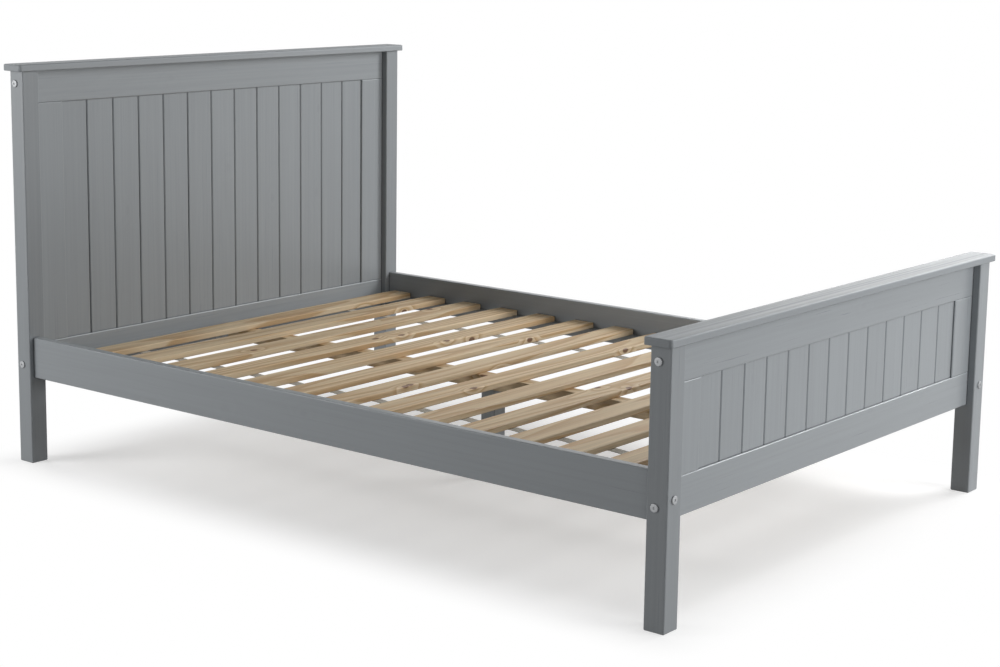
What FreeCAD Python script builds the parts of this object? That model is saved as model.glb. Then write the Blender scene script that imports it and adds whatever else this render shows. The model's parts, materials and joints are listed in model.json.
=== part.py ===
"""Double bed frame with tongue-and-groove head and foot boards. All lengths are in millimetres.

X runs across the bed, Y from its foot (-Y) to its head (+Y), and Z up.
The origin is on the floor at the middle of the bed.
"""
import FreeCAD, Part
import collections
import math
import os

Vector = FreeCAD.Vector
x_axis = Vector(1, 0, 0)
y_axis = Vector(0, 1, 0)
z_axis = Vector(0, 0, 1)

# The mattress that the frame is made for, and the room left around it
mattress_width = 1350.0
mattress_length = 1900.0
mattress_side_play = 1.0
mattress_end_play = 9.0

# Posts
post_width = 50.0
post_depth = 50.0
head_post_height = 1014.0
foot_post_height = 587.0
post_edge_chamfer = 2.0
post_foot_chamfer = 2.0

# Caps on the head and foot boards
cap_thickness = 17.0
cap_end_overhang = 15.0
cap_face_overhang = 9.0
cap_corner_radius = 7.0
cap_top_radius = 4.0
cap_underside_chamfer = 1.5

# Height of the floor gap under the side rails and under the boards' bottom rails
rail_underside = 226.0

# Side rails between the posts
side_rail_height = 105.0
side_rail_thickness = 22.0
side_rail_setback = 12.0
side_rail_edge_radius = 3.0

# Panel frames of the two boards: rails, and stiles beside the posts
panel_rail_height = 84.0
panel_frame_thickness = 22.0
panel_frame_setback = 19.0
stile_width = 90.0
frame_edge_chamfer = 1.8
panel_groove_depth = 10.0
tenon_play = 0.5

# Tongue-and-groove planks held in the grooves of the panel frames
plank_nominal_width = 88.0
plank_thickness = 11.0
plank_recess = 5.0
plank_edge_tuck = 5.0
plank_edge_play = 1.5
plank_end_play = 2.0
plank_groove_clearance = 0.15
v_joint_chamfer = 3.0
v_joint_gap = 0.7
tongue_thickness = 3.4
tongue_length = 6.0
tongue_side_clearance = 0.1
tongue_tip_play = 0.8
tongue_depth_share = 0.56

# Bolts with flat socket heads, and the barrel nuts that they screw into
bolt_diameter = 8.0
bolt_hole_clearance = 0.5
bolt_head_diameter = 18.0
bolt_head_height = 3.2
bolt_socket_width = 5.0
bolt_socket_sides = 6
bolt_socket_depth = 2.4
bolt_past_nut = 10.0
bolt_tip_room = 2.0
panel_bolt_share = 0.385
bolt_crossing_rise = 17.0
nut_diameter = 12.0
nut_clearance = 0.15
nut_thread_clearance = 0.05
nut_setback = 38.0
nut_sink = 0.6
nut_length_share = 0.72

# Wooden dowels that locate the bolted joints and the caps
dowel_diameter = 8.0
dowel_clearance = 0.1
dowel_end_play = 0.5
dowel_in_post_share = 0.34
dowel_in_rail = 22.0
dowel_in_cap_share = 0.55
dowel_under_cap = 16.0
panel_dowel_share = 0.72
side_dowel_share = 0.8
cap_rail_dowel_share = 0.42

# Ledgers screwed to the inner faces of the side rails
ledger_width = 25.0
ledger_height = 28.0
ledger_rise = 8.0
ledger_end_gap = 20.0
ledger_edge_chamfer = 1.5
ledger_screw_count = 5
ledger_screw_margin = 80.0

# Slats and the two webbing tapes under them
slat_count = 14
slat_width = 68.0
slat_thickness = 16.0
slat_end_play = 3.0
slat_end_gap = 22.0
slat_edge_chamfer = 2.0
tape_width = 28.0
tape_thickness = 1.2
tape_end_inset = 10.0
tape_place_share = 0.6

# Centre rail under the slats, its leg and the hangers at its ends
centre_rail_width = 45.0
centre_rail_height = 34.0
centre_rail_end_play = 1.0
centre_rail_edge_chamfer = 2.0
leg_width = 45.0
leg_edge_chamfer = 2.0
leg_foot_chamfer = 2.0
leg_stud_diameter = 8.0
leg_stud_clearance = 0.1
leg_stud_in_leg = 30.0
leg_stud_in_rail_share = 0.6
insert_nut_diameter = 13.0
insert_nut_clearance = 0.1
insert_nut_share = 0.55
hanger_sheet = 2.0
hanger_side_clearance = 0.3
hanger_depth = 32.0
hanger_flange_width = 20.0
hanger_flange_inset = 2.0
hanger_corner_chamfer = 4.0
hanger_screw_share = 0.5

# Countersunk wood screws
screw_diameter = 4.0
screw_head_diameter = 7.6
screw_head_depth = 2.2
screw_clearance = 0.1
screw_tip_play = 0.5
screw_bite_share = 0.68

# Working values of the modelling itself: hidden round parts and their holes are drawn with flat sides
hidden_rod_sides = 8
nut_sides = 12
screw_sides = 8
cut_overrun = 1.0
parallel_share = 0.999
fillet_limit_share = 0.4
rim_limit_share = 0.9
near = 0.001

# Places worked out from the sizes above
bed_half_width = mattress_width / 2 + mattress_side_play + side_rail_thickness + side_rail_setback
bed_half_length = mattress_length / 2 + mattress_end_play + post_depth
post_inner_x = bed_half_width - post_width
post_inner_y = bed_half_length - post_depth
side_rail_outer_x = bed_half_width - side_rail_setback
side_rail_inner_x = side_rail_outer_x - side_rail_thickness
side_rail_middle_x = side_rail_outer_x - side_rail_thickness / 2
panel_opening_half = post_inner_x - stile_width
panel_bottom_rail_top = rail_underside + panel_rail_height
low_bolt_height = rail_underside + panel_rail_height * panel_bolt_share
side_bolt_height = low_bolt_height + bolt_crossing_rise
side_dowel_height = rail_underside + side_rail_height * side_dowel_share
ledger_underside = rail_underside + ledger_rise
ledger_top = ledger_underside + ledger_height
slat_top = ledger_top + slat_thickness
slat_half_length = side_rail_inner_x - slat_end_play
slat_first_y = -post_inner_y + slat_end_gap + slat_width / 2
slat_pitch = -2 * slat_first_y / (slat_count - 1)
centre_rail_underside = ledger_top - centre_rail_height
bolt_hole_radius = bolt_diameter / 2 + bolt_hole_clearance
dowel_hole_radius = dowel_diameter / 2 + dowel_clearance
dowel_in_post = post_width * dowel_in_post_share
dowel_in_post_end = post_depth * dowel_in_post_share
dowel_in_cap = cap_thickness * dowel_in_cap_share

End = collections.namedtuple("End", "name outward front post_height")
ends = [
    End("foot", -1, -bed_half_length, foot_post_height),
    End("head", 1, post_inner_y, head_post_height),
]
sides = {"left": -1, "right": 1}


def frame_front(end):
    """Where the front face of a board's panel frame lies along the bed."""
    return end.front + panel_frame_setback


def frame_back(end):
    """Where the back face of a board's panel frame lies along the bed."""
    return frame_front(end) + panel_frame_thickness


def frame_middle(end):
    """Where the middle of a board's panel frame lies along the bed."""
    return frame_front(end) + panel_frame_thickness / 2


def plank_front(end):
    """Where the front face of a board's planks lies along the bed."""
    return frame_front(end) + plank_recess


def top_rail_underside(end):
    """The height of the lower edge of a board's top rail."""
    return end.post_height - panel_rail_height


def from_both_rails(end, share):
    """Heights at one share of the bottom rail, from below, and of the top rail, from above."""
    return (rail_underside + panel_rail_height * share, end.post_height - panel_rail_height * share)


# Shape helpers

def block(low, high):
    """A box between two corners, given in any order."""
    corner = Vector(min(low.x, high.x), min(low.y, high.y), min(low.z, high.z))
    size = high - low
    return Part.makeBox(abs(size.x), abs(size.y), abs(size.z), corner)


def turned(outline, sides):
    """A solid turned about Z with flat sides, from its (radius, height) points, lowest first."""
    turns = [2 * math.pi * step / sides for step in range(sides + 1)]
    rings = [[Vector(r * math.cos(t), r * math.sin(t), height) for t in turns] for r, height in outline]
    faces = [Part.Face(Part.makePolygon(ring)) for ring in (rings[0], rings[-1])]
    for lower, upper in zip(rings, rings[1:]):
        for step in range(sides):
            corners = [lower[step], lower[step + 1], upper[step + 1], upper[step], lower[step]]
            faces.append(Part.Face(Part.makePolygon(corners)))
    return Part.makeSolid(Part.makeShell(faces))


def placed(shape, point, direction):
    """A shape built along +Z from the origin, moved to a point and turned to a direction."""
    moved = shape.copy()
    moved.Placement = FreeCAD.Placement(point, FreeCAD.Rotation(z_axis, direction))
    return moved


def rod(start, end, radius, sides=hidden_rod_sides):
    """A hidden round bar, or a hole for one, from one point to another."""
    along = end - start
    return placed(turned([(radius, 0), (radius, along.Length)], sides), start, along)


def edges_along(shape, axis, test=lambda middle: True):
    """The straight edges of a shape along an axis whose middle point passes a test."""
    found = []
    for edge in shape.Edges:
        straight = isinstance(edge.Curve, Part.Line)
        if straight and abs(edge.tangentAt(edge.FirstParameter).dot(axis)) > parallel_share:
            if test(edge.CenterOfMass):
                found.append(edge)
    return found


def edges_at_height(shape, height):
    """The edges of a shape that lie at one height all along."""
    return [e for e in shape.Edges if abs(e.BoundBox.ZMin - height) < near and e.BoundBox.ZLength < near]


def ease_limit(low, high, axis):
    """The widest rounding or chamfer that the edges of a box along an axis can take."""
    across = [abs(wall) for wall, along in zip(high - low, axis) if not along]
    return min(across) * fillet_limit_share


def rounded_block(low, high, axis, radius):
    """A box with its four edges along an axis rounded."""
    box = block(low, high)
    return box.makeFillet(min(radius, ease_limit(low, high, axis)), edges_along(box, axis))


def chamfered_block(low, high, axis, chamfer):
    """A box with its four edges along an axis chamfered."""
    box = block(low, high)
    return box.makeChamfer(min(chamfer, ease_limit(low, high, axis)), edges_along(box, axis))


def standing_block(low, high, edge_chamfer, foot_chamfer):
    """An upright box on the floor, chamfered on its upright edges and around its foot."""
    body = chamfered_block(low, high, z_axis, edge_chamfer)
    return body.makeChamfer(min(foot_chamfer, ease_limit(low, high, z_axis)), edges_at_height(body, 0))


def drilled(shape, cutters):
    """A shape with all the cutters taken out of it."""
    return shape.cut(Part.Compound(cutters)).removeSplitter()


def single(shape):
    """The one solid that a finished piece is made of."""
    return shape.Solids[0]


# Fasteners, each lying along its own axis from the face that its head sits on

def bolt(point, direction, grip):
    """A flat-headed socket bolt whose shank reaches past its nut."""
    length = grip + nut_setback + bolt_past_nut
    head = Part.makeCylinder(bolt_head_diameter / 2, bolt_head_height, z_axis * -bolt_head_height)
    shank = turned([(bolt_diameter / 2, 0), (bolt_diameter / 2, length)], hidden_rod_sides)
    corner = bolt_socket_width / 2 / math.cos(math.pi / bolt_socket_sides)
    mouth = -bolt_head_height - cut_overrun
    socket = turned([(corner, mouth), (corner, bolt_socket_depth - bolt_head_height)], bolt_socket_sides)
    return placed(single(head.fuse(shank).cut(socket)), point, direction)


def bolt_bore(point, direction, grip):
    """The hole that a bolt passes through, in the post and in the end of the rail."""
    deepest = grip + nut_setback + bolt_past_nut + bolt_tip_room
    return rod(point - direction * cut_overrun, point + direction * deepest, bolt_hole_radius)


def barrel_nut(mouth, inward, wall, bolt_axis):
    """A round cross nut sunk below the face at its mouth, with the bolt's hole through it."""
    top = mouth + inward * nut_sink
    body = rod(top, top + inward * (wall * nut_length_share), nut_diameter / 2, nut_sides)
    middle = mouth + inward * (wall / 2)
    reach = bolt_axis * nut_diameter
    thread = rod(middle - reach, middle + reach, bolt_diameter / 2 + nut_thread_clearance)
    return single(body.cut(thread))


def nut_bore(mouth, inward, wall):
    """The blind hole that a barrel nut drops into."""
    floor = mouth + inward * (nut_sink + wall * nut_length_share)
    return rod(mouth - inward * cut_overrun, floor, nut_diameter / 2 + nut_clearance, nut_sides)


def screw_outline(length, clearance):
    """The (radius, height) points of a countersunk screw, or of its hole with some clearance."""
    head = screw_head_diameter / 2 + clearance
    shank = screw_diameter / 2 + clearance
    return [(head, 0), (shank, screw_head_depth), (shank, length)]


def screw(point, direction, length):
    """A countersunk wood screw whose head is flush at the point."""
    return placed(turned(screw_outline(length, 0), screw_sides), point, direction)


def screw_bore(point, direction, length):
    """The countersunk hole for a screw."""
    outline = screw_outline(length + screw_tip_play, screw_clearance)
    return placed(turned(outline, screw_sides), point, direction)


def dowel(seam, direction, back, ahead):
    """A dowel across a seam, reaching back behind it and ahead of it."""
    return rod(seam - direction * back, seam + direction * ahead, dowel_diameter / 2)


def dowel_bore(seam, direction, back, ahead):
    """The holes on both sides of a seam for a dowel, with room at each end."""
    low = seam - direction * (back + dowel_end_play)
    high = seam + direction * (ahead + dowel_end_play)
    return rod(low, high, dowel_hole_radius)


# Where the fasteners go, as lists that the holes and the fasteners share

def panel_bolt_places(end):
    """The head seat and direction of each bolt from a post into a panel rail."""
    places = []
    for sign in sides.values():
        for height in from_both_rails(end, panel_bolt_share):
            seat = Vector(sign * bed_half_width, frame_middle(end), height)
            places.append((seat, x_axis * -sign, post_width))
    return places


def side_bolt_place(end, sign):
    """The head seat and direction of the bolt from a post into a side rail."""
    seat = Vector(sign * side_rail_middle_x, end.outward * bed_half_length, side_bolt_height)
    return (seat, y_axis * -end.outward, post_depth)


def panel_nut_places(end):
    """The mouth, direction, wall and bolt axis of each barrel nut in the panel rails."""
    places = []
    for sign in sides.values():
        for height in from_both_rails(end, panel_bolt_share):
            mouth = Vector(sign * (post_inner_x - nut_setback), frame_back(end), height)
            places.append((mouth, -y_axis, panel_frame_thickness, x_axis))
    return places


def side_nut_place(end, sign):
    """The mouth, direction, wall and bolt axis of the barrel nut in one end of a side rail."""
    along = end.outward * (post_inner_y - nut_setback)
    mouth = Vector(sign * side_rail_inner_x, along, side_bolt_height)
    return (mouth, x_axis * sign, side_rail_thickness, y_axis)


def panel_dowel_places(end):
    """The seam, direction and reaches of each dowel between a post and a panel rail."""
    places = []
    for sign in sides.values():
        for height in from_both_rails(end, panel_dowel_share):
            seam = Vector(sign * post_inner_x, frame_middle(end), height)
            places.append((seam, x_axis * -sign, dowel_in_post, dowel_in_rail))
    return places


def side_dowel_place(end, sign):
    """The seam, direction and reaches of the dowel between a post and a side rail."""
    seam = Vector(sign * side_rail_middle_x, end.outward * post_inner_y, side_dowel_height)
    return (seam, y_axis * -end.outward, dowel_in_post_end, dowel_in_rail)


def cap_dowel_places(end):
    """The seam, direction and reaches of each dowel under a cap: over the posts and along the rail."""
    middle = end.front + post_depth / 2
    over_post = bed_half_width - post_width / 2
    over_rail = post_inner_x * cap_rail_dowel_share
    seams = [Vector(sign * over_post, middle, end.post_height) for sign in sides.values()]
    seams += [Vector(sign * over_rail, frame_middle(end), end.post_height) for sign in sides.values()]
    return [(seam, z_axis, dowel_under_cap, dowel_in_cap) for seam in seams]


def ledger_screw_places(sign):
    """The head seat, direction and length of each screw through one ledger into its rail."""
    half = post_inner_y - ledger_end_gap - ledger_screw_margin
    step = 2 * half / (ledger_screw_count - 1)
    height = ledger_underside + ledger_height / 2
    length = ledger_width + side_rail_thickness * screw_bite_share
    seats = [
        Vector(sign * (side_rail_inner_x - ledger_width), -half + step * turn, height)
        for turn in range(ledger_screw_count)
    ]
    return [(seat, x_axis * sign, length) for seat in seats]


def slat_screw_places():
    """The head seat, direction and length of each screw through the end slats into the ledgers."""
    length = slat_thickness + ledger_height * screw_bite_share
    across = side_rail_inner_x - ledger_width / 2
    return [
        (Vector(sign * across, end.outward * -slat_first_y, slat_top), -z_axis, length)
        for sign in sides.values()
        for end in ends
    ]


def hanger_face(end):
    """Where a hanger's flanges lie: the bottom rail's face that looks to the middle of the bed."""
    return frame_back(end) if end.outward < 0 else frame_front(end)


def hanger_flange_span():
    """The lowest and highest point of a hanger's flanges."""
    return (rail_underside + hanger_flange_inset, ledger_top - hanger_flange_inset)


def hanger_cheek_x():
    """How far the outside of a hanger's cheeks lies from the middle."""
    return centre_rail_width / 2 + hanger_side_clearance + hanger_sheet


def hanger_screw_places(end):
    """The head seat, direction and length of each screw through a hanger into the bottom rail."""
    low, high = hanger_flange_span()
    across = hanger_cheek_x() + hanger_flange_width / 2
    seat_y = hanger_face(end) - end.outward * hanger_sheet
    length = hanger_sheet + panel_frame_thickness * screw_bite_share
    height = low + (high - low) * hanger_screw_share
    return [
        (Vector(sign * across, seat_y, height), y_axis * end.outward, length)
        for sign in sides.values()
    ]


# Wooden pieces

def post(end, sign):
    """A square post, eased on its corners and chamfered at its foot, with the holes for its fasteners."""
    low = Vector(sign * bed_half_width, end.front, 0)
    high = Vector(sign * post_inner_x, end.front + post_depth, end.post_height)
    body = standing_block(low, high, post_edge_chamfer, post_foot_chamfer)
    cutters = [bolt_bore(*place) for place in panel_bolt_places(end)]
    cutters += [bolt_bore(*side_bolt_place(end, sign))]
    cutters += [dowel_bore(*place) for place in panel_dowel_places(end)]
    cutters += [dowel_bore(*side_dowel_place(end, sign))]
    cutters += [dowel_bore(*place) for place in cap_dowel_places(end)]
    return single(drilled(body, cutters))


def cap(end):
    """The flat board on top of a head or foot board, with rounded corners and a rounded top edge."""
    reach = bed_half_width + cap_end_overhang
    low = Vector(-reach, end.front - cap_face_overhang, end.post_height)
    high = Vector(reach, end.front + post_depth + cap_face_overhang, end.post_height + cap_thickness)
    body = rounded_block(low, high, z_axis, cap_corner_radius)
    limit = min(cap_corner_radius * rim_limit_share, cap_thickness * fillet_limit_share)
    body = body.makeFillet(min(cap_top_radius, limit), edges_at_height(body, high.z))
    body = body.makeChamfer(min(cap_underside_chamfer, limit), edges_at_height(body, low.z))
    return single(drilled(body, [dowel_bore(*place) for place in cap_dowel_places(end)]))


def panel_groove(end, low, high):
    """The cutter for a groove that planks and tenons sit in."""
    front = plank_front(end) - plank_groove_clearance
    back = plank_front(end) + plank_thickness + plank_groove_clearance
    return block(Vector(low.x, front, low.z), Vector(high.x, back, high.z))


def panel_rail(end, is_top):
    """A rail across a board, grooved along the edge that faces the planks."""
    underside = top_rail_underside(end) if is_top else rail_underside
    low = Vector(-post_inner_x, frame_front(end), underside)
    high = Vector(post_inner_x, frame_back(end), underside + panel_rail_height)
    body = block(low, high)
    shown = edges_along(body, x_axis, lambda middle: middle.z < end.post_height - near)
    body = body.makeChamfer(frame_edge_chamfer, shown)
    inward = 1 if is_top else -1
    groove_edge = low.z if is_top else high.z
    overrun = post_inner_x + cut_overrun
    mouth = Vector(-overrun, 0, groove_edge - inward * cut_overrun)
    floor = Vector(overrun, 0, groove_edge + inward * panel_groove_depth)
    cutters = [panel_groove(end, mouth, floor)]
    cutters += [bolt_bore(*place) for place in panel_bolt_places(end)]
    cutters += [nut_bore(*place[:3]) for place in panel_nut_places(end)]
    cutters += [dowel_bore(*place) for place in panel_dowel_places(end)]
    if is_top:
        cutters += [dowel_bore(*place) for place in cap_dowel_places(end)]
    else:
        cutters += [screw_bore(*place) for place in hanger_screw_places(end)]
    return single(drilled(body, cutters))


def stile(end, sign):
    """An upright beside a post, with stub tenons in the rails' grooves and a groove for the end plank."""
    bottom = panel_bottom_rail_top
    top = top_rail_underside(end)
    low = Vector(sign * panel_opening_half, frame_front(end), bottom)
    high = Vector(sign * post_inner_x, frame_back(end), top)
    body = block(low, high)
    inner = edges_along(body, z_axis, lambda middle: abs(middle.x - low.x) < near)
    body = body.makeChamfer(frame_edge_chamfer, inner + edges_along(body, x_axis))
    reach = panel_groove_depth - tenon_play
    tenon = block(
        Vector(low.x, plank_front(end), bottom - reach),
        Vector(high.x, plank_front(end) + plank_thickness, top + reach),
    )
    overrun = panel_groove_depth + cut_overrun
    mouth = Vector(low.x - sign * cut_overrun, 0, bottom - overrun)
    floor = Vector(low.x + sign * (plank_edge_tuck + plank_edge_play), 0, top + overrun)
    return single(body.fuse(tenon).cut(panel_groove(end, mouth, floor)).removeSplitter())


def plank_outline(end, left, right, left_joint, right_joint):
    """A plank's plan: V-chamfered front edges, a groove in its left edge and a tongue on its right."""
    front = plank_front(end)
    back = front + plank_thickness
    tongue_middle = front + plank_thickness * tongue_depth_share
    half = tongue_thickness / 2
    slot = half + tongue_side_clearance
    slot_depth = tongue_length - v_joint_gap + tongue_tip_play
    chamfer_left = v_joint_chamfer if left_joint else 0
    chamfer_right = v_joint_chamfer if right_joint else 0
    points = [(left + chamfer_left, front), (right - chamfer_right, front)]
    if right_joint:
        points += [
            (right, front + chamfer_right),
            (right, tongue_middle - half),
            (right + tongue_length, tongue_middle - half),
            (right + tongue_length, tongue_middle + half),
            (right, tongue_middle + half),
        ]
    points += [(right, back), (left, back)]
    if left_joint:
        points += [
            (left, tongue_middle + slot),
            (left + slot_depth, tongue_middle + slot),
            (left + slot_depth, tongue_middle - slot),
            (left, tongue_middle - slot),
            (left, front + chamfer_left),
        ]
    return points + points[:1]


def planks(end):
    """The row of planks in a board, standing in the bottom rail's groove, tucked into the stiles."""
    panel_half = panel_opening_half + plank_edge_tuck
    count = max(1, round(2 * panel_half / plank_nominal_width))
    cover = 2 * panel_half / count
    foot = panel_bottom_rail_top - panel_groove_depth
    top = top_rail_underside(end) + panel_groove_depth - plank_end_play
    row = []
    for place in range(count):
        left_joint = place > 0
        right_joint = place < count - 1
        left = -panel_half + cover * place + (v_joint_gap / 2 if left_joint else 0)
        right = -panel_half + cover * (place + 1) - (v_joint_gap / 2 if right_joint else 0)
        outline = plank_outline(end, left, right, left_joint, right_joint)
        corners = [Vector(x, y, foot) for x, y in outline]
        row.append(Part.Face(Part.makePolygon(corners)).extrude(z_axis * (top - foot)))
    return Part.Compound(row)


def side_rail(sign):
    """A plain board between the head and foot posts, drilled for its bolts, nuts, dowels and screws."""
    low = Vector(sign * side_rail_outer_x, -post_inner_y, rail_underside)
    high = Vector(sign * side_rail_inner_x, post_inner_y, rail_underside + side_rail_height)
    body = rounded_block(low, high, y_axis, side_rail_edge_radius)
    cutters = [screw_bore(*place) for place in ledger_screw_places(sign)]
    for end in ends:
        cutters.append(bolt_bore(*side_bolt_place(end, sign)))
        cutters.append(nut_bore(*side_nut_place(end, sign)[:3]))
        cutters.append(dowel_bore(*side_dowel_place(end, sign)))
    return single(drilled(body, cutters))


def ledger(sign):
    """A batten along the inside of a side rail, which carries the slats' ends."""
    reach = post_inner_y - ledger_end_gap
    low = Vector(sign * side_rail_inner_x, -reach, ledger_underside)
    high = Vector(sign * (side_rail_inner_x - ledger_width), reach, ledger_top)
    body = block(low, high)
    inner = edges_along(body, y_axis, lambda middle: abs(middle.x - high.x) < near)
    body = body.makeChamfer(ledger_edge_chamfer, inner)
    cutters = [screw_bore(*place) for place in ledger_screw_places(sign)]
    cutters += [screw_bore(*place) for place in slat_screw_places()]
    return single(drilled(body, cutters))


def slat(place):
    """One slat across the bed; the first and the last are screwed to the ledgers."""
    middle = slat_first_y + slat_pitch * place
    low = Vector(-slat_half_length, middle - slat_width / 2, ledger_top)
    high = Vector(slat_half_length, middle + slat_width / 2, slat_top)
    body = chamfered_block(low, high, x_axis, slat_edge_chamfer)
    if place in (0, slat_count - 1):
        body = drilled(body, [screw_bore(*screw_place) for screw_place in slat_screw_places()])
    return single(body)


def tape(sign):
    """A webbing tape stapled under the slats to keep their spacing."""
    reach = -slat_first_y + slat_width / 2 - tape_end_inset
    middle = sign * slat_half_length * tape_place_share
    low = Vector(middle - tape_width / 2, -reach, ledger_top - tape_thickness)
    high = Vector(middle + tape_width / 2, reach, ledger_top)
    return block(low, high)


def centre_rail():
    """The rail that carries the middle of the slats, from the foot board to the headboard."""
    foot, head = ends
    half = centre_rail_width / 2
    low = Vector(-half, hanger_face(foot) + centre_rail_end_play, centre_rail_underside)
    high = Vector(half, hanger_face(head) - centre_rail_end_play, ledger_top)
    body = chamfered_block(low, high, y_axis, centre_rail_edge_chamfer)
    seam = Vector(0, 0, centre_rail_underside)
    insert_depth = centre_rail_height * insert_nut_share
    stud_depth = centre_rail_height * leg_stud_in_rail_share
    cutters = [
        rod(
            seam - z_axis * cut_overrun,
            seam + z_axis * insert_depth,
            insert_nut_diameter / 2 + insert_nut_clearance,
        ),
        rod(seam, seam + z_axis * (stud_depth + bolt_tip_room), leg_stud_diameter / 2 + leg_stud_clearance),
    ]
    return single(drilled(body, cutters))


def centre_leg():
    """The square leg under the middle of the centre rail."""
    half = leg_width / 2
    high = Vector(half, half, centre_rail_underside)
    body = standing_block(Vector(-half, -half, 0), high, leg_edge_chamfer, leg_foot_chamfer)
    seam = Vector(0, 0, centre_rail_underside)
    bore = rod(
        seam - z_axis * (leg_stud_in_leg + bolt_tip_room),
        seam + z_axis * cut_overrun,
        leg_stud_diameter / 2 + leg_stud_clearance,
    )
    return single(drilled(body, [bore]))


# Steel pieces

def leg_stud():
    """The threaded rod that screws the leg to the centre rail."""
    seam = Vector(0, 0, centre_rail_underside)
    reach = centre_rail_height * leg_stud_in_rail_share
    return rod(seam - z_axis * leg_stud_in_leg, seam + z_axis * reach, leg_stud_diameter / 2)


def leg_insert_nut():
    """The threaded sleeve in the underside of the centre rail."""
    seam = Vector(0, 0, centre_rail_underside)
    top = seam + z_axis * (centre_rail_height * insert_nut_share)
    sleeve = rod(seam, top, insert_nut_diameter / 2)
    thread = rod(
        seam - z_axis * cut_overrun,
        top + z_axis * cut_overrun,
        leg_stud_diameter / 2 + leg_stud_clearance,
    )
    return single(sleeve.cut(thread))


def hanger(end):
    """A folded steel saddle that holds one end of the centre rail, with a flange at each side."""
    inward = -end.outward
    face = hanger_face(end)
    outer = hanger_cheek_x()
    inner = outer - hanger_sheet
    low, high = hanger_flange_span()
    floor = centre_rail_underside - hanger_sheet
    mouth = face + inward * hanger_depth
    saddle = block(Vector(-outer, face, floor), Vector(outer, mouth, high))
    hollow = block(
        Vector(-inner, face - inward * cut_overrun, centre_rail_underside),
        Vector(inner, mouth + inward * cut_overrun, high + cut_overrun),
    )
    reach = outer + hanger_flange_width
    plate = block(Vector(-reach, face, low), Vector(reach, face + inward * hanger_sheet, high))
    plate = plate.makeChamfer(hanger_corner_chamfer, edges_along(plate, y_axis))
    body = saddle.fuse(plate).cut(hollow).removeSplitter()
    return single(drilled(body, [screw_bore(*place) for place in hanger_screw_places(end)]))


def all_of(maker, places):
    """A group of like fasteners, one at each place."""
    return Part.Compound([maker(*place) for place in places])


def at_corners(place_of):
    """One place for each corner of the bed."""
    return [place_of(end, sign) for end in ends for sign in sides.values()]


def at_ends(places_of):
    """The places of both ends of the bed in one list."""
    return [place for end in ends for place in places_of(end)]


def bed_frame():
    """Every piece of the bed by name."""
    pieces = {}
    for end in ends:
        pieces[end.name + "_cap"] = cap(end)
        pieces[end.name + "_top_rail"] = panel_rail(end, True)
        pieces[end.name + "_bottom_rail"] = panel_rail(end, False)
        pieces[end.name + "_planks"] = planks(end)
        pieces[end.name + "_hanger"] = hanger(end)
        for side, sign in sides.items():
            pieces[end.name + "_post_" + side] = post(end, sign)
            pieces[end.name + "_stile_" + side] = stile(end, sign)
    for side, sign in sides.items():
        pieces["side_rail_" + side] = side_rail(sign)
        pieces["ledger_" + side] = ledger(sign)
        pieces["slat_tape_" + side] = tape(sign)
    for place in range(slat_count):
        pieces["slat_%02d" % (place + 1)] = slat(place)
    pieces["centre_rail"] = centre_rail()
    pieces["centre_leg"] = centre_leg()
    pieces["leg_stud"] = leg_stud()
    pieces["leg_insert_nut"] = leg_insert_nut()
    pieces["panel_bolts"] = all_of(bolt, at_ends(panel_bolt_places))
    pieces["side_rail_bolts"] = all_of(bolt, at_corners(side_bolt_place))
    pieces["panel_barrel_nuts"] = all_of(barrel_nut, at_ends(panel_nut_places))
    pieces["side_rail_barrel_nuts"] = all_of(barrel_nut, at_corners(side_nut_place))
    pieces["panel_dowels"] = all_of(dowel, at_ends(panel_dowel_places))
    pieces["side_rail_dowels"] = all_of(dowel, at_corners(side_dowel_place))
    pieces["cap_dowels"] = all_of(dowel, at_ends(cap_dowel_places))
    ledger_places = [place for sign in sides.values() for place in ledger_screw_places(sign)]
    pieces["ledger_screws"] = all_of(screw, ledger_places)
    pieces["slat_screws"] = all_of(screw, slat_screw_places())
    pieces["hanger_screws"] = all_of(screw, at_ends(hanger_screw_places))
    return pieces


os.makedirs("parts", exist_ok=True)
for name, shape in bed_frame().items():
    shape.exportStep("parts/" + name + ".step")
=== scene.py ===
import bmesh
import bpy
import json
import math
from mathutils import Matrix, Vector

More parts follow.
